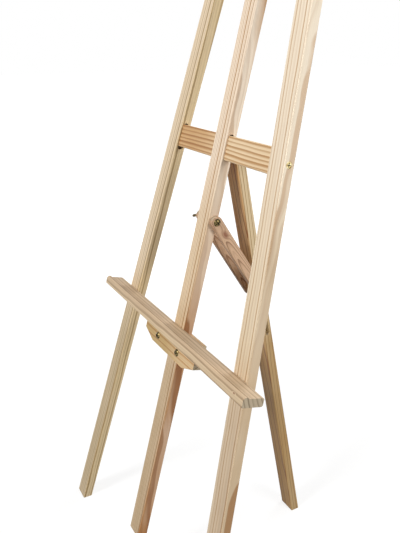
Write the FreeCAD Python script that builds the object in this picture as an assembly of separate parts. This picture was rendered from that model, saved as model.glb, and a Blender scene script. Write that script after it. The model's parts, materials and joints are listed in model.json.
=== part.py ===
"""Folding wooden artist easel: two splayed front legs and a centre post on two rails, a hinged rear leg
held by a pair of link slats, a sliding canvas tray and a sliding top canvas holder. Millimetres, +Z up.

The front frame is drawn upright first, in frame space: x to the right, y from the posts' front faces to the
back, z up the frame from the floor. stand() then leans it back and puts the origin on the floor, under the
middle of the whole easel."""
import FreeCAD, Part
import math
import os

# Stance
LEAN = 14.0  # lean of the front frame from upright, degrees
SPLAY = math.atan(0.12)  # angle of each front leg to the centre post
LEG_OPEN = 25.8  # angle of the open rear leg to the centre post, degrees

# Square timber: front width and depth of the posts, the front legs and the rear leg
POST_W = 40.0
POST_D = 20.0
EASED = 1.5  # rounding of long edges
FRAME_TOP = 1800.0  # top of the centre post
LEG_TOP = 1765.0
POST_FOOT = 110.0  # lower end of the centre post, clear of the floor

# Canvas tray
TRAY_LEVEL = 577.0  # top face of the tray
TRAY_LENGTH = 570.0
TRAY_OFFSET = 2.0  # how far right of the post's centre the tray sits
TRAY_DEPTH = 40.0
TRAY_THICK = 15.0
LIP_HEIGHT = 2.6
LIP_THICK = 8.0
NOSE_R = 6.5  # rounding of the lip's front edge
TOE_R = 2.5  # rounding of the front face's lower edge
LEDGE_BEVEL = 2.2  # bevel of the board's back edges
LIP_SLOPE = 1.5  # how far the lip's back leans
LEG_OFFSET = 216.7  # centre line of a front leg from the post's centre, at the tray

# Rails: flat boards through the centre post, into blind mortises in the legs
RAIL_H = 44.0
RAIL_T = 12.0
RAIL_LEVELS = (TRAY_LEVEL + 344.8, FRAME_TOP - 90.0)
MORTISE_ABOVE = 2.6  # room over a rail in its round-topped mortises
LEG_MORTISE_BELOW = 6.4  # room under it in the legs; in the post it rests on a squared bottom
MORTISE_DEPTH = 22.0
RAIL_EASED = 2.5
RAIL_GAP = 2.0  # from the rail's end to the mortise's bottom

# Rear leg hinge
HINGE_LEVEL = TRAY_LEVEL + 331.3
PIN_OUT = 3.2  # hinge pin's axis from the wood face on either side
HINGE_W = 36.0
LEAF_T = 1.5
LEAF_LENGTH = 21.0  # from the pin's axis
KNUCKLE_R = 3.0
PIN_R = 1.5

# Link slats, from the centre post to the rear leg
LINK_LEVEL = TRAY_LEVEL + 212.3
LINK_DEPTH = 13.2  # pivot from the posts' front faces
LINK_LENGTH = 205.0  # pivot to lower bolt
LINK_W = 22.0
LINK_T = 10.0
SLOT_W = 9.0
SLOT_END = 386.0  # lower end of the rear leg's slot from the hinge pin

# Clamps: a front block and a rear block drawn together on the centre post by two bolts
BLOCK_T = 18.0
REAR_BLOCK_T = 15.0
CLAMP_BOLT_X = 40.6
CLAMP_BOLT_DROP = 38.6  # below the tray's top face
BLOCK_FOOT = 56.5  # lower edge of the blocks below the tray's top face
BLOCK_SHOULDER = 42.5  # where the front blocks' ends turn in, below the tray's top face
FRONT_BLOCK_HALF = 101.0
FRONT_BLOCK_FOOT_HALF = 63.0
FRONT_BLOCK_OFFSET = 4.5  # how far right of the post's centre the tray's front block sits
BLOCK_EASED = 0.8
REAR_BLOCK_HALF = 55.0
REAR_BLOCK_TOP = 19.0
HOLDER_LEVEL = 1330.0  # canvas side of the top holder's ledge
HOLDER_LENGTH = 130.0
HOLDER_BLOCK_CORNER = 15.0  # how far its front block's cut corners come in
DOWEL_SPREAD = 75.0  # outer dowels from the middle of the tray's block
HOLDER_DOWEL_SPREAD = 22.0
DOWEL_DEPTH = 9.0  # in the ledge board, and in the block

# Hardware
BOLT_R = 3.0
BOLT_HEAD_R = 7.2
BOLT_HEAD_H = 3.6
WASHER_R = 7.5
WASHER_T = 1.2
NUT_H = 7.0
WING_REACH = 12.5
LINK_NUT_TURNS = {"upper": 75.0, "lower": 0.0}  # how far each wing nut's ears are turned from the slats' line
CLAMP_NUT_TURN = 84.0  # and the clamps' from ears up and down
THREAD_PAST_NUT = 4.0
THREAD_PITCH = 1.0
THREAD_DEPTH = 0.5
RAIL_SCREW = (60.0, 2.5, 6.0)  # length, shank radius and head radius
SMALL_SCREW = (14.0, 1.6, 3.2)
RAIL_SCREW_SINK = 1.0  # how far its head lies under the leg's face
TOP_SCREW_SPREAD = 11.0  # the top rail's two screws from its middle
WING_HALF_T = 1.1
WING_TIP_R = 4.0
DOWEL_R = 4.0

# Clearances
GAP = 0.2  # between flat faces that slide on each other
FIT = 0.05  # radial, shaft in hole
REACH = 400.0  # longer than anything that a cutter has to pass through

LEAN_SIN = math.sin(math.radians(LEAN))
LEAN_COS = math.cos(math.radians(LEAN))
BACK_EDGE = FRAME_TOP * LEAN_SIN + POST_D * LEAN_COS
CENTRE_Y = BACK_EDGE / 2  # from the front feet's front edge to the middle of the whole easel


def vec(x, y, z):
    return FreeCAD.Vector(x, y, z)


def block(x0, x1, y0, y1, z0, z1):
    return Part.makeBox(x1 - x0, y1 - y0, z1 - z0, vec(x0, y0, z0))


def rod(radius, start, end):
    return Part.makeCylinder(radius, (end - start).Length, start, end - start)


def eased(shape, direction, radius=EASED):
    """Rounds the edges that run along direction."""
    edges = [e for e in shape.Edges if e.tangentAt(e.FirstParameter).cross(direction).Length < 1e-6]
    return shape.makeFillet(radius, edges)


def stadium(width, z0, z1, y, x0, x1):
    """Bar along x with half-round top and bottom."""
    r = width / 2
    body = block(x0, x1, y - r, y + r, z0 + r, z1 - r)
    ends = [rod(r, vec(x0, y, z), vec(x1, y, z)) for z in (z0 + r, z1 - r)]
    return body.fuse(ends).removeSplitter()


def turned(shape, angle, centre, axis=(1, 0, 0)):
    result = shape.copy()
    result.rotate(centre, vec(*axis), angle)
    return result


def moved(shape, x, y, z):
    result = shape.copy()
    result.translate(vec(x, y, z))
    return result


def mirrored(shape):
    return shape.mirror(vec(0, 0, 0), vec(1, 0, 0))


def stand(shape):
    """Frame space to the finished easel."""
    return moved(turned(shape, -LEAN, vec(0, 0, 0)), 0, -CENTRE_Y, 0)


def cut_level(shape):
    """Trims a standing leg's foot at the floor."""
    return shape.cut(block(-REACH, REACH, -2 * REACH, 2 * REACH, -REACH, 0))


def leg_x(level):
    return LEG_OFFSET - (level - TRAY_LEVEL) * math.tan(SPLAY)


def write(name, shape):
    shape.exportStep("parts/" + name + ".step")


# Hardware, each drawn along +x with its head or washer face at x = 0 and its shank towards -x

def cross_recess(radius, depth):
    arm = radius * 0.62
    half = radius * 0.11
    return [block(-depth, radius, -a, a, -b, b) for a, b in ((arm, half), (half, arm))]


def thread_grooves(length):
    """Rings that cut the thread at a shank's tip, where it shows past the nut; each turn is drawn level."""
    half = THREAD_PITCH * 0.45
    grooves = []
    for turn in range(round(THREAD_PAST_NUT / THREAD_PITCH)):
        x = -length + (turn + 0.5) * THREAD_PITCH
        outline = [(x - half, BOLT_R + FIT), (x, BOLT_R - THREAD_DEPTH), (x + half, BOLT_R + FIT)]
        points = [vec(along, 0, out) for along, out in outline]
        groove = Part.Face(Part.makePolygon(points + points[:1]))
        grooves.append(groove.revolve(vec(0, 0, 0), vec(1, 0, 0), 360))
    return grooves


def pan_bolt(length):
    """Bolt with a low domed head, a cross recess and a threaded tip; length is that of the shank."""
    dome_r = (BOLT_HEAD_R ** 2 + BOLT_HEAD_H ** 2) / (2 * BOLT_HEAD_H)
    ball = Part.makeSphere(dome_r, vec(BOLT_HEAD_H - dome_r, 0, 0))
    head = ball.common(rod(BOLT_HEAD_R, vec(0, 0, 0), vec(BOLT_HEAD_H, 0, 0)))
    recess = [moved(cut, BOLT_HEAD_H, 0, 0) for cut in cross_recess(BOLT_HEAD_R, BOLT_HEAD_H * 0.55)]
    return head.fuse(rod(BOLT_R, vec(-length, 0, 0), vec(0, 0, 0))).cut(recess + thread_grooves(length))


def wood_screw(length, shank_r, head_r):
    """Countersunk screw with a flat head and a point; length includes the head."""
    head_h = head_r - shank_r
    head = Part.makeCone(head_r, shank_r, head_h, vec(0, 0, 0), vec(-1, 0, 0))
    shank = rod(shank_r, vec(-length + 2 * shank_r, 0, 0), vec(-head_h, 0, 0))
    point = Part.makeCone(shank_r, shank_r / 4, 2 * shank_r, vec(-length + 2 * shank_r, 0, 0), vec(-1, 0, 0))
    return head.fuse([shank, point]).cut(cross_recess(head_r, head_h * 0.6))


def screw_hole(length, shank_r, head_r):
    head_h = head_r - shank_r
    head = Part.makeCone(head_r + FIT, shank_r + FIT, head_h, vec(0, 0, 0), vec(-1, 0, 0))
    mouth = rod(head_r + FIT, vec(0, 0, 0), vec(head_r, 0, 0))
    return head.fuse([rod(shank_r + FIT, vec(-length - 1, 0, 0), vec(0, 0, 0)), mouth])


def washer():
    ring = rod(WASHER_R, vec(-WASHER_T, 0, 0), vec(0, 0, 0))
    return ring.cut(rod(BOLT_R + FIT, vec(-WASHER_T, 0, 0), vec(0, 0, 0)))


def wing_nut():
    """Seat at x = 0, hub and two ears towards -x, ears above and below the axis."""
    hub = Part.makeCone(6.5, 5.0, NUT_H, vec(0, 0, 0), vec(-1, 0, 0))
    ears = []
    side_step = vec(0, WING_HALF_T, 0)
    for side in (1, -1):
        tip = vec(-NUT_H - 3.0, 0, side * (WING_REACH - WING_TIP_R))
        ear = rod(WING_TIP_R, tip - side_step, tip + side_step)
        outline = [(-1.0, 4.0), (-7.6, 12.2), (-12.6, 5.4), (-NUT_H, 3.2)]
        points = [vec(x, -WING_HALF_T, side * z) for x, z in outline]
        web = Part.Face(Part.makePolygon(points + points[:1])).extrude(side_step * 2)
        ears += [ear, web]
    bore = rod(BOLT_R + FIT, vec(-3 * NUT_H, 0, 0), vec(1, 0, 0))
    return hub.fuse(ears).cut(bore).removeSplitter()


def facing(shape, direction, x, y, z):
    """Turns hardware drawn along +x to face direction and puts its head's seat at a point."""
    result = shape.copy()
    seat = FreeCAD.Placement(vec(x, y, z), FreeCAD.Rotation(vec(1, 0, 0), vec(*direction)))
    result.Placement = seat.multiply(shape.Placement)
    return result


# Front frame

def front_leg():
    """The right leg, standing; the left one is its mirror image."""
    foot_x = leg_x(0)
    half = POST_W / 2
    timber = eased(block(-half, half, 0, POST_D, -POST_W, LEG_TOP / math.cos(SPLAY)), vec(0, 0, 1))
    leg = moved(turned(timber, -math.degrees(SPLAY), vec(0, 0, 0), (0, 1, 0)), foot_x, 0, 0)
    for level in RAIL_LEVELS:
        inner = leg_x(level) - half
        mortise = rail_mortise(level, LEG_MORTISE_BELOW, inner - POST_W, inner + MORTISE_DEPTH)
        leg = leg.cut([mortise, rail_screw_at(level, screw_hole)])
    return cut_level(stand(leg))


def rail_mortise(level, below, x0, x1):
    half = RAIL_H / 2
    return stadium(RAIL_T + 2 * GAP, level - half - below, level + half + MORTISE_ABOVE, POST_D / 2, x0, x1)


def post_mortise(level):
    """Right through the post, round at the top and square at the bottom."""
    half_t = RAIL_T / 2 + GAP
    bottom = level - RAIL_H / 2 - GAP
    square = block(-POST_W, POST_W, POST_D / 2 - half_t, POST_D / 2 + half_t, bottom, level)
    return rail_mortise(level, -RAIL_H / 4, -POST_W, POST_W).fuse(square)


def rail_screw_at(level, maker):
    """A rail screw or its hole in the right leg: the head lies just under the leg's outer face."""
    head_x = leg_x(level) + POST_W / 2 - RAIL_SCREW_SINK
    return facing(maker(*RAIL_SCREW), (1, 0, 0), head_x, POST_D / 2, level)


def rail(level):
    half = leg_x(level) - POST_W / 2 + MORTISE_DEPTH - RAIL_GAP
    low, high = (POST_D - RAIL_T) / 2, (POST_D + RAIL_T) / 2
    board = block(-half, half, low, high, level - RAIL_H / 2, level + RAIL_H / 2)
    hole = rail_screw_at(level, screw_hole)
    return eased(board, vec(1, 0, 0), RAIL_EASED).cut([hole, mirrored(hole)] + post_screws(screw_hole))


def post_screws(maker):
    """Screws from the back of the centre post into the rails, or their holes: the hinge's screws hold the
    middle rail, and two more the top rail."""
    levels = [RAIL_LEVELS[1] + side * TOP_SCREW_SPREAD for side in (-1, 1)]
    top = [facing(maker(*SMALL_SCREW), (0, 1, 0), 0, POST_D, level) for level in levels]
    return top + hinge_screws(maker, True)


def centre_post():
    half = POST_W / 2
    post = eased(block(-half, half, 0, POST_D, POST_FOOT, FRAME_TOP), vec(0, 0, 1))
    cutters = [rod(BOLT_R + FIT, vec(-POST_W, LINK_DEPTH, LINK_LEVEL), vec(POST_W, LINK_DEPTH, LINK_LEVEL))]
    cutters += [post_mortise(level) for level in RAIL_LEVELS]
    return post.cut(cutters + post_screws(screw_hole))


def make_front_frame():
    right_leg = front_leg()
    write("right_leg", right_leg)
    write("left_leg", mirrored(right_leg))
    write("centre_post", stand(centre_post()))
    write("cross_rail", stand(rail(RAIL_LEVELS[0])))
    write("top_rail", stand(rail(RAIL_LEVELS[1])))
    screws = [rail_screw_at(level, wood_screw) for level in RAIL_LEVELS]
    write("rail_screws", stand(Part.makeCompound(screws + [mirrored(s) for s in screws])))
    write("top_rail_screws", stand(Part.makeCompound(post_screws(wood_screw)[:2])))


# Hinge, drawn about its pin with the rear leg folded flat: the post's leaf stands up the post's back, and the
# leg's leaf lies back over the leg's sawn top end

def hinge_screws(maker, on_post):
    """Screws of one leaf, or their holes, in frame space."""
    pin_y = POST_D + PIN_OUT
    screw = maker(*SMALL_SCREW)
    seat = PIN_OUT - LEAF_T
    spots = ((-11.0, 9.5), (11.0, 9.5), (0.0, 16.0))
    if on_post:
        return [facing(screw, (0, 1, 0), x, pin_y - seat, HINGE_LEVEL + out) for x, out in spots]
    return [facing(screw, (0, 0, 1), x, pin_y + out, HINGE_LEVEL - seat) for x, out in spots]


def hinge_leaf(on_post):
    """Drawn as the post's leaf; the leg's leaf is the same plate turned a quarter about the pin, with the
    other knuckles."""
    pin_y = POST_D + PIN_OUT
    count = 5
    pitch = HINGE_W / count
    y0, y1 = POST_D, POST_D + LEAF_T
    plate_start = HINGE_LEVEL + KNUCKLE_R + 0.5
    leaf = block(-HINGE_W / 2, HINGE_W / 2, y0, y1, plate_start, HINGE_LEVEL + LEAF_LENGTH)
    for i in range(0 if on_post else 1, count, 2):
        x0 = -HINGE_W / 2 + i * pitch + GAP / 2
        x1 = x0 + pitch - GAP
        knuckle = rod(KNUCKLE_R, vec(x0, pin_y, HINGE_LEVEL), vec(x1, pin_y, HINGE_LEVEL))
        leaf = leaf.fuse([knuckle, block(x0, x1, y0, y1, HINGE_LEVEL, plate_start + 0.5)])
    if not on_post:
        leaf = turned(leaf, 90.0, vec(0, pin_y, HINGE_LEVEL)).mirror(vec(0, pin_y, 0), vec(0, 1, 0))
    bore = rod(PIN_R + FIT, vec(-REACH, pin_y, HINGE_LEVEL), vec(REACH, pin_y, HINGE_LEVEL))
    return leaf.cut([bore] + hinge_screws(screw_hole, on_post)).removeSplitter()


def hinge_pin():
    """Pin with its two peened ends."""
    head_r, head_t = KNUCKLE_R - 0.4, 1.2
    half = HINGE_W / 2

    def along(radius, x0, x1):
        pin_y = POST_D + PIN_OUT
        return rod(radius, vec(x0, pin_y, HINGE_LEVEL), vec(x1, pin_y, HINGE_LEVEL))

    heads = [along(head_r, half, half + head_t), along(head_r, -half - head_t, -half)]
    return along(PIN_R, -half, half).fuse(heads)


def swing_leg(shape):
    """Frame space with the rear leg folded flat, to the open leg on the standing easel."""
    return stand(turned(shape, LEG_OPEN, vec(0, POST_D + PIN_OUT, HINGE_LEVEL)))


def rear_leg():
    front = POST_D + 2 * PIN_OUT
    half = POST_W / 2
    top = HINGE_LEVEL - PIN_OUT
    leg = eased(block(-half, half, front, front + POST_D, -POST_W, top), vec(0, 0, 1))
    slot_top = HINGE_LEVEL - lower_bolt_reach() + BOLT_R + 1.0
    slot = stadium(SLOT_W, HINGE_LEVEL - SLOT_END, slot_top, front + POST_D / 2, -POST_W, POST_W)
    return cut_level(swing_leg(leg.cut([slot] + hinge_screws(screw_hole, False))))


def make_hinge_and_rear_leg():
    write("hinge_post_leaf", stand(hinge_leaf(True)))
    write("hinge_pin", stand(hinge_pin()))
    write("hinge_post_screws", stand(Part.makeCompound(hinge_screws(wood_screw, True))))
    write("hinge_leg_leaf", swing_leg(hinge_leaf(False)))
    write("hinge_leg_screws", swing_leg(Part.makeCompound(hinge_screws(wood_screw, False))))
    write("rear_leg", rear_leg())


# Link

def lower_bolt_reach():
    """Distance down the open rear leg, from the hinge pin, at which the link's lower bolt crosses it."""
    open_angle = math.radians(LEG_OPEN)
    rise = HINGE_LEVEL - LINK_LEVEL
    back = POST_D + PIN_OUT - LINK_DEPTH
    along = rise * math.cos(open_angle) - back * math.sin(open_angle)
    across = PIN_OUT + POST_D / 2 + rise * math.sin(open_angle) + back * math.cos(open_angle)
    return along + math.sqrt(LINK_LENGTH ** 2 - across ** 2)


def link_angle():
    """Angle of the open link to the centre post, degrees."""
    open_angle = math.radians(LEG_OPEN)
    reach = lower_bolt_reach()
    offset = PIN_OUT + POST_D / 2
    back = POST_D + PIN_OUT + reach * math.sin(open_angle) + offset * math.cos(open_angle) - LINK_DEPTH
    drop = LINK_LEVEL - HINGE_LEVEL + reach * math.cos(open_angle) - offset * math.sin(open_angle)
    return math.degrees(math.atan2(back, drop))


def swing_link(shape):
    """Link drawn hanging straight down from its pivot, to its place on the standing easel."""
    return stand(turned(shape, link_angle(), vec(0, LINK_DEPTH, LINK_LEVEL)))


def link_slat(side):
    x0, x1 = sorted((side * (POST_W / 2 + GAP), side * (POST_W / 2 + GAP + LINK_T)))
    slat = stadium(LINK_W, LINK_LEVEL - LINK_LENGTH - LINK_W / 2, LINK_LEVEL + LINK_W / 2, LINK_DEPTH, x0, x1)
    holes = [rod(BOLT_R + FIT, vec(x0, LINK_DEPTH, z), vec(x1, LINK_DEPTH, z))
             for z in (LINK_LEVEL, LINK_LEVEL - LINK_LENGTH)]
    rims = [e for e in slat.Edges if e.BoundBox.XLength < 1e-6]
    return slat.makeFillet(1.0, rims).cut(holes)


def make_link():
    write("link_right_slat", swing_link(link_slat(1)))
    write("link_left_slat", swing_link(link_slat(-1)))
    face = POST_W / 2 + GAP + LINK_T
    bolt = pan_bolt(2 * face + WASHER_T + NUT_H + THREAD_PAST_NUT)
    washers = []
    for name, level in (("upper", LINK_LEVEL), ("lower", LINK_LEVEL - LINK_LENGTH)):
        write("link_" + name + "_bolt", swing_link(facing(bolt, (1, 0, 0), face, LINK_DEPTH, level)))
        washers.append(facing(washer(), (1, 0, 0), -face, LINK_DEPTH, level))
        nut = turned(wing_nut(), LINK_NUT_TURNS[name], vec(0, 0, 0))
        nut = facing(nut, (1, 0, 0), -face - WASHER_T, LINK_DEPTH, level)
        write("link_" + name + "_wing_nut", swing_link(nut))
    write("link_washers", swing_link(Part.makeCompound(washers)))


# Clamps

def ledge_board(length):
    """Tray moulding in frame space, top face at z = 0: a board with a rounded lip along its front edge."""
    back, front = -GAP, -GAP - TRAY_DEPTH
    lip_back = front + LIP_THICK
    corner = 1 - math.cos(math.radians(45))  # how far an arc's middle lies from either tangent, per radius
    low = -TRAY_THICK
    outline = [(back, low + LEDGE_BEVEL), (back, -LEDGE_BEVEL), (back - LEDGE_BEVEL, 0),
               (lip_back + LIP_SLOPE, 0), (lip_back, LIP_HEIGHT), (front + NOSE_R, LIP_HEIGHT)]
    points = [vec(0, y, z) for y, z in outline]
    edges = [Part.makeLine(a, b) for a, b in zip(points, points[1:])]
    nose_middle = vec(0, front + NOSE_R * corner, LIP_HEIGHT - NOSE_R * corner)
    nose_end = vec(0, front, LIP_HEIGHT - NOSE_R)
    edges.append(Part.Arc(points[-1], nose_middle, nose_end).toShape())
    toe_start = vec(0, front, low + TOE_R)
    edges.append(Part.makeLine(nose_end, toe_start))
    toe_middle = vec(0, front + TOE_R * corner, low + TOE_R * corner)
    toe_end = vec(0, front + TOE_R, low)
    edges.append(Part.Arc(toe_start, toe_middle, toe_end).toShape())
    under_back = vec(0, back - LEDGE_BEVEL, low)
    edges += [Part.makeLine(toe_end, under_back), Part.makeLine(under_back, points[0])]
    return moved(Part.Face(Part.Wire(edges)).extrude(vec(length, 0, 0)), -length / 2, 0, 0)


def front_block(half, foot_half):
    """Front block under a ledge, its lower corners cut off."""
    outline = [(-half, -TRAY_THICK), (half, -TRAY_THICK), (half, -BLOCK_SHOULDER), (foot_half, -BLOCK_FOOT),
               (-foot_half, -BLOCK_FOOT), (-half, -BLOCK_SHOULDER)]
    points = [vec(x, -GAP - BLOCK_T, z) for x, z in outline]
    body = Part.Face(Part.makePolygon(points + points[:1])).extrude(vec(0, BLOCK_T, 0))
    rim = [e for e in body.Edges if e.BoundBox.YLength < 1e-6 and e.BoundBox.YMax < -BLOCK_T / 2
           and e.BoundBox.ZMin < -TRAY_THICK - BLOCK_EASED]
    return body.makeFillet(BLOCK_EASED, rim)


def clamp_bolt_spots():
    return (("left", -CLAMP_BOLT_X), ("right", CLAMP_BOLT_X))


def clamp_holes():
    reach = 3 * BLOCK_T
    return [rod(BOLT_R + FIT, vec(x, -reach, -CLAMP_BOLT_DROP), vec(x, reach + POST_D, -CLAMP_BOLT_DROP))
            for _, x in clamp_bolt_spots()]


def dowels(half, count):
    """Glued pins between a ledge board and its block, half in each."""
    y = -GAP - BLOCK_T / 2
    low, high = -TRAY_THICK - DOWEL_DEPTH, -TRAY_THICK + DOWEL_DEPTH
    xs = [-half + 2 * half * i / (count - 1) for i in range(count)]
    return [rod(DOWEL_R, vec(x, y, low), vec(x, y, high)) for x in xs]


def clamp(prefix, board_name, place, board, front, pins):
    """Writes a ledge board, its two blocks and their hardware; place puts them on the easel."""
    holes = clamp_holes()
    write(board_name, place(board.cut(pins)))
    write(prefix + "_front_block", place(front.cut(pins + holes)))
    near, far = POST_D + GAP, POST_D + GAP + REAR_BLOCK_T
    rear = block(-REAR_BLOCK_HALF, REAR_BLOCK_HALF, near, far, -BLOCK_FOOT, -REAR_BLOCK_TOP)
    write(prefix + "_rear_block", place(eased(rear, vec(1, 0, 0)).cut(holes)))
    write(prefix + "_dowels", place(Part.makeCompound(pins)))
    length = BLOCK_T + POST_D + REAR_BLOCK_T + 2 * GAP + WASHER_T + NUT_H + THREAD_PAST_NUT
    bolts = [facing(pan_bolt(length), (0, -1, 0), x, -GAP - BLOCK_T, -CLAMP_BOLT_DROP)
             for _, x in clamp_bolt_spots()]
    write(prefix + "_bolts", place(Part.makeCompound(bolts)))
    washers = [facing(washer(), (0, -1, 0), x, far, -CLAMP_BOLT_DROP) for _, x in clamp_bolt_spots()]
    write(prefix + "_washers", place(Part.makeCompound(washers)))
    for side, x in clamp_bolt_spots():
        turn = math.copysign(CLAMP_NUT_TURN, x)
        nut = facing(turned(wing_nut(), turn, vec(0, 0, 0)), (0, -1, 0), x, far + WASHER_T, -CLAMP_BOLT_DROP)
        write(prefix + "_" + side + "_wing_nut", place(nut))


def make_tray():
    def place(shape):
        return stand(moved(shape, 0, 0, TRAY_LEVEL))

    board = moved(ledge_board(TRAY_LENGTH), TRAY_OFFSET, 0, 0)
    front = moved(front_block(FRONT_BLOCK_HALF, FRONT_BLOCK_FOOT_HALF), FRONT_BLOCK_OFFSET, 0, 0)
    clamp("tray", "tray_board", place, board, front, dowels(DOWEL_SPREAD, 3))


def make_holder():
    """The top holder is a short tray moulding turned over, its lip pointing down over the canvas."""
    def place(shape):
        flipped = turned(shape, 180.0, vec(0, 0, 0), (0, 1, 0))
        return stand(moved(flipped, 0, 0, HOLDER_LEVEL))

    half = HOLDER_LENGTH / 2
    front = front_block(half, half - HOLDER_BLOCK_CORNER)
    clamp("holder", "holder_ledge", place, ledge_board(HOLDER_LENGTH), front, dowels(HOLDER_DOWEL_SPREAD, 2))


os.makedirs("parts", exist_ok=True)
make_front_frame()
make_hinge_and_rear_leg()
make_link()
make_tray()
make_holder()
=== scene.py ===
"""Looks of the folding wooden artist easel: planed pine in its own board for every member, antique brass
hardware, a pale studio floor and soft light. Metres, in the shared frame."""

import json
import math

import bpy
from mathutils import Matrix, Vector


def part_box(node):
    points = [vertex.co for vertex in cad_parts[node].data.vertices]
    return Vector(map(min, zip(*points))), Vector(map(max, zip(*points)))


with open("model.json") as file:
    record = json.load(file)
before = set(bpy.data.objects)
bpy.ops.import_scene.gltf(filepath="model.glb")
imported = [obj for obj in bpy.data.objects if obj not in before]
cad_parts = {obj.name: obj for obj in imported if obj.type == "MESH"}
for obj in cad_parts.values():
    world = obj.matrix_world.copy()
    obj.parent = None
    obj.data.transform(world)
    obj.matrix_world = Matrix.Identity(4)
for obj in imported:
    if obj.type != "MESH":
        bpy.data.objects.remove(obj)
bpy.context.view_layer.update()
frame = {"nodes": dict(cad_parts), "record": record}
MM = 0.001

# How the members stand, in degrees: the front frame leans back, its legs splay, the rear leg and the link
# swing out
LEAN = 14.0
SPLAY = 6.843
REAR_LEG_TILT = 11.8
LINK_TILT = 32.96

# Camera, placed from the middle of the tray's back edge
CAMERA_AZIMUTH = 61.13
CAMERA_ELEVATION = 20.59
CAMERA_FROM_TRAY = Vector((0.9298, -0.4674, 0.5108))
LENS_MM = 40.64
VIEW_REACH = 60
TRAY_MOUNT_TO_POSTS = 16.2 * MM

# Studio
AMBIENT = 0.26  # strength of the world's light on surfaces
FLOOR_SIZE = 40
FLOOR_GLOW = (0.76, 1.0)  # the floor as the camera sees it, near the easel and far off
FLOOR_GLOW_REACH = (0.8, 3.0)  # and where it changes, metres from the middle
LAMPS_AIM = Vector((0, 0, 0.7))
LAMPS = (("front_softbox", (0.5, -3.2, 3.3), 1.1, 131),  # each: place, size and watts
         ("right_fill", (2.7, 0.9, 1.7), 1.4, 50),
         ("left_fill", (-2.6, 0.2, 0.5), 0.8, 17),
         ("back_fill", (-1.0, 2.8, 1.9), 1.4, 46))


def tray_back_edge():
    """Middle of the tray's top face, where it meets the posts' front faces."""
    mounts = {mount["name"]: mount for mount in frame["record"]["mounts"]}
    back = Vector((0, math.cos(math.radians(LEAN)), -math.sin(math.radians(LEAN))))
    return Vector(mounts["tray_top"]["pos_m"]) + back * TRAY_MOUNT_TO_POSTS


def make_camera():
    camera = bpy.data.cameras.new("studio_camera")
    camera.lens = LENS_MM
    camera.clip_end = VIEW_REACH
    holder = bpy.data.objects.new("studio_camera", camera)
    bpy.context.scene.collection.objects.link(holder)
    holder.location = tray_back_edge() + CAMERA_FROM_TRAY
    holder.rotation_euler = (math.radians(90 - CAMERA_ELEVATION), 0, math.radians(CAMERA_AZIMUTH))
    bpy.context.scene.camera = holder
    bpy.context.scene.view_settings.view_transform = "Standard"


# Nodes

def linear(hex_colour):
    """sRGB hex to linear RGBA."""
    parts = [int(hex_colour[i:i + 2], 16) / 255 for i in (1, 3, 5)]
    return tuple(p / 12.92 if p <= 0.04045 else ((p + 0.055) / 1.055) ** 2.4 for p in parts) + (1.0,)


def cycles(*sizes_mm):
    """Scale of a pattern, in cycles per metre, from the size in mm of one cycle along each axis."""
    return tuple(1 / (size * MM) for size in sizes_mm)


def add(tree, kind, inputs=(), **settings):
    """Adds a shader node. inputs is a list in the order of its sockets in use, or a dict by their names.
    Each is a value, an output, or a node, which gives its first output in use. settings are the node's
    own."""
    node = tree.nodes.new("ShaderNode" + kind)
    for name, value in settings.items():
        setattr(node, name, value)
    sockets = [socket for socket in node.inputs if socket.enabled]
    names = [socket.name for socket in sockets]
    for key, value in inputs.items() if isinstance(inputs, dict) else enumerate(inputs):
        socket = sockets[names.index(key) if isinstance(key, str) else key]
        if isinstance(value, bpy.types.Node):
            value = next(output for output in value.outputs if output.enabled)
        if isinstance(value, bpy.types.NodeSocket):
            tree.links.new(value, socket)
        else:
            socket.default_value = value
    return node


def new_material(name):
    material = bpy.data.materials.new(name)
    material.use_nodes = True
    material.node_tree.nodes.clear()
    return material, material.node_tree


# Pine, planed and sanded, with a clear oil. Growth rings are cylinders about a pith line beside the board,
# so faces, edges and ends agree as they do on a sawn board. Each ring is pale early wood that darkens to a
# thin brown late line and stops sharply. The oil gives a soft satin, and the late lines stand a hair proud.

PINE_IOR = 1.45
PINE_ROUGHNESS = (0.62, 0.5)  # of early wood and of the denser late lines
SWELL_MM = (71, 71, 167)  # how far apart the rings' waves lie, across and along the board
TONE_MM = (33, 33, 400)  # broad changes of tone
PATCH_MM = (56, 56, 200)  # where heartwood and painted shade come and go
FIBRE_MM = (0.8, 0.8, 60)  # real fibres are 0.03 mm thick: drawn as coarse as they need to show
FIBRE_SHADE = (0.90, 1.06)  # how much they darken and lighten the wood
YEAR_CHANGE = 0.9  # how fast ring widths change from year to year
LINE_FULL = 0.45  # how much of a late line is at full strength
LINE_STOP = 0.96  # where in its ring a late line begins to end
FINE_LINES = 3.0  # hairlines in each ring
LAYER_EDGE = 0.3  # heartwood and painted-shade layers are full from this much of their depth out to the face
KNOT_WIDTH = 0.6  # of a knot's length, which lies along the board
RELIEF_MM = 0.12
END_GRAIN = ("#b8a98f", "#7c6d58")  # sawn ends drink the oil: greyer, their rings darker still
KNOT_COLOUR = "#7d4227"
KNOT_RINGS = 1.6  # how many years' rings bend round a knot


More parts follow.
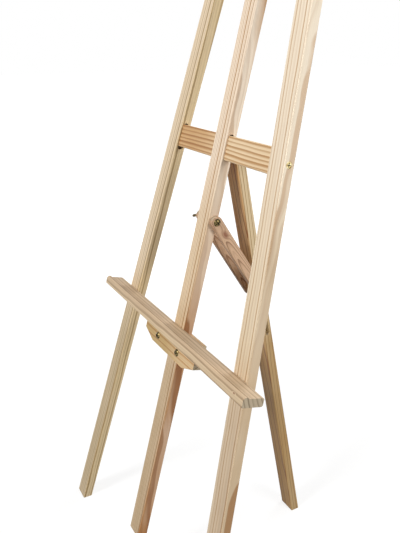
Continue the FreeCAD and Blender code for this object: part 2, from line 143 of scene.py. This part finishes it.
def ring_count(tree, spot, pith, drift, ring_mm, uneven):
    """Rings from the pith line to a spot. pith is that line's place from the board's middle in mm, drift
    how far it wanders in mm per metre of board, ring_mm a year's growth, uneven how much the years
    differ."""
    squares = []
    for axis, start, slope in zip("XY", pith, drift):
        wander = add(tree, "Math", [spot.outputs["Z"], -slope * MM, -start * MM],
                     operation="MULTIPLY_ADD")
        offset = add(tree, "Math", [spot.outputs[axis], wander], operation="ADD")
        squares.append(add(tree, "Math", [offset, offset], operation="MULTIPLY"))
    square = add(tree, "Math", squares, operation="ADD")
    radius = add(tree, "Math", [square], operation="SQRT")
    rings = add(tree, "Math", [radius, ring_mm * MM], operation="DIVIDE")
    years = add(tree, "TexNoise", {"W": rings, "Scale": YEAR_CHANGE, "Detail": 1.0}, noise_dimensions="1D")
    return add(tree, "Math", [years, uneven, rings], operation="MULTIPLY_ADD")


def ring_line(tree, rings, share, faint):
    """Late line of each ring: it comes in over the last share of the ring and stops sharply at its end.
    faint is the strength of the faintest years."""
    year = add(tree, "Math", [rings], operation="FRACT")
    rise = add(tree, "MapRange", [year, 1.0 - share, 1.0 - LINE_FULL * share, 0.0, 1.0])
    fall = add(tree, "MapRange", [year, LINE_STOP, 1.0, 1.0, 0.0])
    line = add(tree, "Math", [rise, fall], operation="MINIMUM")
    number = add(tree, "Math", [rings], operation="FLOOR")
    chance = add(tree, "TexWhiteNoise", [number], noise_dimensions="1D")
    bold = add(tree, "MapRange", [chance.outputs["Value"], 0.0, 1.0, faint, 1.0])
    return add(tree, "Math", [line, bold], operation="MULTIPLY")


def knot_shape(tree, spot, axis, across_mm, along_mm, radius_mm):
    """1 in the middle of a knot, 0 well outside it; a knot is longer along the board than across it."""
    squares = []
    for name, centre, size in ((axis, across_mm, radius_mm), ("Z", along_mm, radius_mm / KNOT_WIDTH)):
        step = add(tree, "Math", [spot.outputs[name], centre * MM], operation="SUBTRACT")
        scaled = add(tree, "Math", [step, size * MM], operation="DIVIDE")
        squares.append(add(tree, "Math", [scaled, scaled], operation="MULTIPLY"))
    square = add(tree, "Math", squares, operation="ADD")
    spread = add(tree, "Math", [square, -1.0], operation="MULTIPLY")
    return add(tree, "Math", [spread], operation="EXPONENT")


def heartwood_and_shade_layer(tree, board, seed, axis, side, half_mm, depth_mm, z_span):
    """1 in a layer under one face of a board, heartwood on some boards and painted shade on others: the
    axis and side that it faces, the board's half thickness that way, the layer's depth, and from where to
    where along the board it comes in, in mm. It is patchy, down to about half."""
    place = add(tree, "SeparateXYZ", [board])
    outward = add(tree, "Math", [place.outputs[axis], float(side)], operation="MULTIPLY")
    edges = [(half_mm - depth_mm) * MM, (half_mm - LAYER_EDGE * depth_mm) * MM]
    layer = add(tree, "MapRange", [outward, *edges, 0.0, 1.0])
    reach = add(tree, "MapRange", [place.outputs["Z"], z_span[0] * MM, z_span[1] * MM, 0.0, 1.0])
    mapped = add(tree, "Mapping", {"Vector": board, "Location": (seed + 2.0, seed, seed),
                                   "Scale": cycles(*PATCH_MM)})
    patch = add(tree, "TexNoise", {"Vector": mapped, "Scale": 1.0})
    patchy = add(tree, "MapRange", [patch, 0.3, 0.6, 0.55, 1.0])
    face = add(tree, "Math", [layer, reach], operation="MULTIPLY")
    return add(tree, "Math", [face, patchy], operation="MULTIPLY")


def pine(name, node, turn, pith, ring_mm, pale, late, seed, drift=(0.0, 0.0), late_share=0.45,
         wave_mm=2.0, strength=1.0, faint=0.45, hair=0.28, uneven=0.8, deep=None, tone_share=0.5,
         hearts_and_shades=(), knot=None):
    """Pine for one board. turn is the board's rotation, and seed moves its noise. pale and late are the
    colours of early and late wood, deep that of broad darker streaks, which take up to tone_share.
    late_share is the late line's part of a ring, wave_mm how far the rings wave, strength that of their
    lines, and hair that of the hairlines. Each of hearts is a colour and a layer as heartwood_and_shade_layer takes it.
    knot is as knot_shape takes it."""
    material, tree = new_material(name)
    low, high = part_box(node)
    place = add(tree, "TexCoord")
    board = add(tree, "Mapping", {"Vector": place.outputs["Object"], "Location": (low + high) / 2,
                                  "Rotation": turn.to_euler("XYZ")}, vector_type="TEXTURE")
    swell_place = add(tree, "Mapping", {"Vector": board, "Location": (seed, seed * 0.7, seed * 1.3),
                                        "Scale": cycles(*SWELL_MM)})
    swell = add(tree, "TexNoise", {"Vector": swell_place, "Scale": 1.0})
    centred = add(tree, "VectorMath", [swell.outputs["Color"], (0.5, 0.5, 0.5)], operation="SUBTRACT")
    # The noise mostly stays within a quarter of its middle
    swing = add(tree, "VectorMath", {"Vector": centred, "Scale": 4 * wave_mm * MM}, operation="SCALE")
    shifted = add(tree, "VectorMath", [board, swing], operation="ADD")
    spot = add(tree, "SeparateXYZ", [shifted])
    rings = ring_count(tree, spot, pith, drift, ring_mm, uneven)
    if knot:
        mask = knot_shape(tree, spot, *knot)
        rings = add(tree, "Math", [mask, KNOT_RINGS, rings], operation="MULTIPLY_ADD")
    line = ring_line(tree, rings, late_share, faint)
    fine_rings = add(tree, "Math", [rings, FINE_LINES], operation="MULTIPLY")
    hairline = add(tree, "Math", [ring_line(tree, fine_rings, 0.6, 0.3), hair], operation="MULTIPLY")
    grain = add(tree, "Math", [line, hairline], operation="MAXIMUM")
    share = add(tree, "Math", [grain, strength], operation="MULTIPLY")

    tone_place = add(tree, "Mapping", {"Vector": board, "Location": (seed * 3, seed * 2, seed),
                                       "Scale": cycles(*TONE_MM)})
    tone = add(tree, "TexNoise", {"Vector": tone_place, "Scale": 1.0})
    tone_amount = add(tree, "MapRange", [tone, 0.45, 0.75, 0.0, tone_share])
    colour = add(tree, "Mix", [tone_amount, linear(pale), linear(deep or late)], data_type="RGBA")
    for layer_colour, layer in hearts_and_shades:
        amount = heartwood_and_shade_layer(tree, board, seed, *layer)
        colour = add(tree, "Mix", [amount, colour, linear(layer_colour)], data_type="RGBA")
    # A late line darkens whatever wood it runs through, as much as it turns pale wood late
    tint = tuple(b / a for a, b in zip(linear(pale), linear(late)))
    colour = add(tree, "Mix", [share, colour, tint], data_type="RGBA", blend_type="MULTIPLY")
    if knot:
        knot_amount = add(tree, "MapRange", [mask, 0.2, 0.9, 0.0, 0.8])
        colour = add(tree, "Mix", [knot_amount, colour, linear(KNOT_COLOUR)], data_type="RGBA")
    fibre_place = add(tree, "Mapping", {"Vector": board, "Location": (seed, seed, seed),
                                        "Scale": cycles(*FIBRE_MM)})
    fibre = add(tree, "TexNoise", {"Vector": fibre_place, "Scale": 1.0, "Detail": 3.0})
    shade = add(tree, "MapRange", [fibre, 0.25, 0.75, *FIBRE_SHADE])
    colour = add(tree, "VectorMath", {"Vector": colour, "Scale": shade}, operation="SCALE")
    # Faces square to the board's length are its sawn ends
    lengthwise = turn @ Vector((0, 0, 1))
    facing = add(tree, "VectorMath", [place.outputs["Normal"], lengthwise], operation="DOT_PRODUCT")
    squareness = add(tree, "Math", [facing], operation="ABSOLUTE")
    sawn = add(tree, "MapRange", [squareness, 0.75, 0.95, 0.0, 0.85])
    end_colour = add(tree, "Mix", [line, linear(END_GRAIN[0]), linear(END_GRAIN[1])], data_type="RGBA")
    colour = add(tree, "Mix", [sawn, colour, end_colour], data_type="RGBA")

    height = add(tree, "Math", [line, 0.5, fibre], operation="MULTIPLY_ADD")
    relief = add(tree, "Bump", {"Height": height, "Strength": 0.25, "Distance": RELIEF_MM * MM})
    roughness = add(tree, "MapRange", [line, 0.0, 1.0, *PINE_ROUGHNESS])
    shader = add(tree, "BsdfPrincipled", {"Base Color": colour, "Roughness": roughness, "Normal": relief,
                                          "IOR": PINE_IOR})
    add(tree, "OutputMaterial", {"Surface": shader})
    return material


def metal(name, bright, dull, roughness, blotch_mm=3.0, grain_mm=0.4, recess_shade="#1e1810", recess_mm=3.0):
    """Metal with a plain IOR. It is bright where it is handled and dull in blotches, rougher where it is
    dull, faintly grained by its making, and darkened with painted shade where a surface is within
    recess_mm."""
    material, tree = new_material(name)
    place = add(tree, "TexCoord")
    blotch = add(tree, "TexNoise", {"Vector": place.outputs["Object"], "Scale": 1 / (blotch_mm * MM),
                                    "Detail": 4.0})
    worn = add(tree, "MapRange", [blotch, 0.4, 0.6, 0.0, 1.0])
    plate = add(tree, "Mix", [worn, linear(bright), linear(dull)], data_type="RGBA")
    # Painted shade: the colour darkens where other surfaces lie within recess_mm
    air = add(tree, "AmbientOcclusion", {"Distance": recess_mm * MM}, samples=8)
    recess_shaded = add(tree, "MapRange", [air.outputs["AO"], 0.45, 0.85, 1.0, 0.0])
    colour = add(tree, "Mix", [recess_shaded, plate, linear(recess_shade)], data_type="RGBA")
    grain = add(tree, "TexNoise", {"Vector": place.outputs["Object"], "Scale": 1 / (grain_mm * MM)})
    relief = add(tree, "Bump", {"Height": grain, "Strength": 0.15, "Distance": 0.05 * MM})
    rough = add(tree, "MapRange", [blotch, 0.3, 0.7, roughness, roughness + 0.2])
    shader = add(tree, "BsdfPrincipled", {"Base Color": colour, "Metallic": 1.0, "Roughness": rough,
                                          "Normal": relief})
    add(tree, "OutputMaterial", {"Surface": shader})
    return material


def paint(nodes, material):
    for name in nodes:
        slots = frame["nodes"][name].data.materials
        slots.clear()
        slots.append(material)


def turned(lean, side=0.0, lie=False):
    """A member's rotation: side about the frame's depth, then lean about x. lie lays its grain along x."""
    rotation = Matrix.Rotation(math.radians(lean), 3, "X") @ Matrix.Rotation(math.radians(side), 3, "Y")
    return rotation @ Matrix.Rotation(math.radians(90), 3, "Y") if lie else rotation


def dress_front_frame():
    """Pale boards of wide rings, sawn so that their faces show straight lines along them. The rails' lines
    are stronger. The post's and legs' front faces darken lower down, most below the tray: painted shade of
    the tray. The left leg is darker than the right: painted shade, for light that falls from the right. The
    rails' front faces darken towards their left ends."""
    front = ("Y", -1, 10, 5.0)
    right = ("X", 1, 20, 3.0)
    paint(["centre_post"], pine("planed_pine_post", "centre_post", turned(-LEAN), (-72, -12), 5.0,
                                "#f9e7d0", "#b1834f", 3.1, drift=(-15, 0), wave_mm=1.4, deep="#e8cca8",
                                tone_share=0.4,
                                # The two layers under the front face darken it lower down, deepest below
                                # the tray: painted shade of the tray.
                                hearts_and_shades=[("#ead3b0", (*front, (-60, -240))),
                                        ("#c9b18e", (*front, (-310, -470))),
                                        ("#b57e49", (*right, (-110, -430)))]))
    # The left leg's colours are darker than the right leg's: painted shade, for light that falls from the
    # right.
    paint(["left_leg"], pine("planed_pine_left_leg", "left_leg", turned(-LEAN, SPLAY), (-50, -60), 5.2,
                             "#ead5b7", "#94733f", 7.7, drift=(-12, 0), wave_mm=1.4, deep="#cfb58c",
                             strength=0.8, faint=0.3,
                             # The layer under the front face darkens it below the tray: painted shade of
                             # the tray.
                             hearts_and_shades=[("#c9b491", (*front, (-260, -420))),
                                     ("#ebd3a6", (*right, (900, 850)))]))
    paint(["right_leg"], pine("planed_pine_right_leg", "right_leg", turned(-LEAN, -SPLAY), (-80, 12), 7.0,
                              "#f6e7d0", "#b98c59", 1.4, drift=(-10, 0), wave_mm=1.8, deep="#e8d2b0",
                              faint=0.15, uneven=1.1, tone_share=0.4,
                              # The two layers under the front face darken it lower down, deepest below the
                              # tray: painted shade of the tray.
                              hearts_and_shades=[("#e8d5b6", (*front, (60, -260))),
                                      ("#ceb89c", (*front, (-250, -390))),
                                      ("#cfb694", (*right, (0, -120)))]))
    for name, seed in (("cross_rail", 5.2), ("top_rail", 9.6)):
        paint([name], pine("planed_pine_" + name, name, turned(-LEAN, lie=True), (120, -30), 7.2,
                           "#ecd2ac", "#ad7c45", seed, wave_mm=1.6, late_share=0.6, strength=0.88,
                           faint=0.7, hair=0.0, uneven=0.3, deep="#e0be90",
                           # The layer under the front face darkens it towards its left end.
                           hearts_and_shades=[("#d0a775", ("Y", -1, 6, 3.0, (40, -60)))]))


def dress_rear_leg():
    """A yellower board. Its front face is heartwood, darkened further with painted shade from the centre
    post and frame in front of it.
    """
    front = ("Y", -1, 10, 2.0)
    paint(["rear_leg"], pine("planed_pine_rear_leg", "rear_leg", turned(REAR_LEG_TILT), (30, -60), 7.0,
                             "#dfcaa2", "#93642f", 2.3, drift=(0, 20), deep="#cfae7a", late_share=0.4,
                             # Both layers under the front face are heartwood with painted shade: the shadow
                             # of the centre post and frame.
                             hearts_and_shades=[("#bd8b50", (*front, (700, 500))),
                                     ("#9b7847", (*front, (80, -20))),
                                     ("#b8955f", ("X", 1, 20, 2.0, (140, 40)))]))


def dress_link():
    """Pinkish slats of narrow rings that run aslant, so that their faces show long flames, with a knot in
    each."""
    for name, seed in (("link_right_slat", 4.4), ("link_left_slat", 8.1)):
        paint([name], pine("planed_pine_" + name, name, turned(LINK_TILT), (22, -4), 1.8, "#dab795",
                           "#7a4c2c", seed, drift=(28, 0), wave_mm=0.5, late_share=0.4, faint=0.3,
                           deep="#be9574",
                           knot=("Y", 1.0, 71.0, 6.0),
                           # The layer under each slat's lower edge darkens it towards its lower end, by the
                           # rear leg: painted shade.
                           hearts_and_shades=[("#7a5636", ("Y", -1, 11, 2.0, (60, -50)))]))


def dress_clamps():
    """Moulded ledges, greyer on top; blocks of wide-ringed pine; beech dowels."""
    lying = turned(-LEAN, lie=True)
    for prefix, board, seed in (("tray", "tray_board", 6.3), ("holder", "holder_ledge", 1.9)):
        knot = ("X", -3.0, 259.0, 1.6) if prefix == "tray" else None
        paint([board], pine("moulded_pine_" + board, board, lying, (-45, 88), 8.0, "#d9c19f", "#8f6f4e",
                            seed, drift=(0, 5), wave_mm=1.6, strength=0.85, deep="#c9ac84", tone_share=0.2,
                            knot=knot,
                            hearts_and_shades=[("#c7ae8f", ("X", -1, 6.2, 3.0, (400, 390)))]))
        for block in (prefix + "_front_block", prefix + "_rear_block"):
            paint([block], pine("sawn_pine_" + block, block, lying, (70, 50), 9.0, "#e0c59c", "#b07838",
                                seed + 0.6, faint=0.6, strength=0.85, deep="#d4b07c",
                                hearts_and_shades=[("#c3a672", ("Y", -1, 9, 5.0, (70, -10)))]))
        dowels = prefix + "_dowels"
        paint([dowels], pine("turned_beech_" + dowels, dowels, turned(-LEAN), (20, 0), 2.0, "#c99f70",
                             "#a67c50", seed))


def dress_metal():
    """Antique brass plate is dull brown in its blotches and warm where handled, and every metal is darkened
    in its recesses with painted shade. Most screws and the hinge's leaves are bare brass. The hinge's pin
    and the top rail's screws are dull zinc plate."""
    paint(["link_upper_bolt", "link_lower_bolt", "link_washers", "tray_bolts", "tray_washers",
           "holder_bolts", "holder_washers"], metal("antique_brass_plate", "#8c7a50", "#2e281b", 0.26))
    nuts = [name for name in frame["nodes"] if name.endswith("wing_nut")]
    paint(nuts, metal("cast_antique_brass_plate", "#86734c", "#3e3625", 0.34, blotch_mm=5.0,
                      grain_mm=0.7))
    paint(["rail_screws", "hinge_post_screws", "hinge_leg_screws"],
          metal("bright_brass_screw", "#efe2b4", "#a88d50", 0.22, blotch_mm=4.0))
    paint(["hinge_post_leaf", "hinge_leg_leaf"],
          metal("rolled_brass_hinge", "#c9aa62", "#9a7a3c", 0.3, blotch_mm=8.0))
    paint(["hinge_pin", "top_rail_screws"], metal("zinc_plated_steel", "#b9b5a4", "#87826f", 0.35))


# Studio

def seen_directly(tree):
    """1 for camera, glossy and transmission rays, which see the white studio; 0 for light on surfaces."""
    path = add(tree, "LightPath")
    mirrored = [path.outputs["Is Glossy Ray"], path.outputs["Is Transmission Ray"]]
    indirect = add(tree, "Math", mirrored, operation="MAXIMUM")
    return add(tree, "Math", [path.outputs["Is Camera Ray"], indirect], operation="MAXIMUM")


def make_stage():
    bpy.ops.object.select_all(action="DESELECT")
    bpy.ops.mesh.primitive_plane_add(size=FLOOR_SIZE, location=(0, 0, 0))
    floor = bpy.context.object
    floor.name = "studio_floor"
    # Matt paper that the camera sees as white: it glows for the camera, less near the easel, where the
    # shadow lies
    material, tree = new_material("matt_white_paper")
    place = add(tree, "TexCoord")
    distance = add(tree, "VectorMath", [place.outputs["Object"]], operation="LENGTH")
    level = add(tree, "MapRange", [distance, *FLOOR_GLOW_REACH, *FLOOR_GLOW])
    glow = add(tree, "Math", [seen_directly(tree), level], operation="MULTIPLY")
    paper = add(tree, "BsdfDiffuse", {"Color": linear("#8c8c8c")})
    lift = add(tree, "Emission", {"Color": linear("#ffffff"), "Strength": glow})
    both = add(tree, "AddShader", [paper, lift])
    add(tree, "OutputMaterial", {"Surface": both})
    floor.data.materials.append(material)


def make_world():
    world = bpy.data.worlds.new("white_studio")
    bpy.context.scene.world = world
    world.use_nodes = True
    tree = world.node_tree
    tree.nodes.clear()
    strength = add(tree, "Mix", [seen_directly(tree), AMBIENT, 1.0], data_type="FLOAT")
    sky = add(tree, "Background", {"Color": linear("#ffffff"), "Strength": strength})
    add(tree, "OutputWorld", {"Surface": sky})


def make_lights():
    """A softbox high in front, and a fill from each side and from behind."""
    for name, position, size, power in LAMPS:
        lamp = bpy.data.lights.new(name, "AREA")
        lamp.size = size
        lamp.energy = power
        holder = bpy.data.objects.new(name, lamp)
        bpy.context.scene.collection.objects.link(holder)
        holder.location = position
        holder.rotation_euler = (LAMPS_AIM - Vector(position)).to_track_quat("-Z", "Y").to_euler()


make_camera()
make_world()
make_stage()
make_lights()
dress_front_frame()
dress_rear_leg()
dress_link()
dress_clamps()
dress_metal()
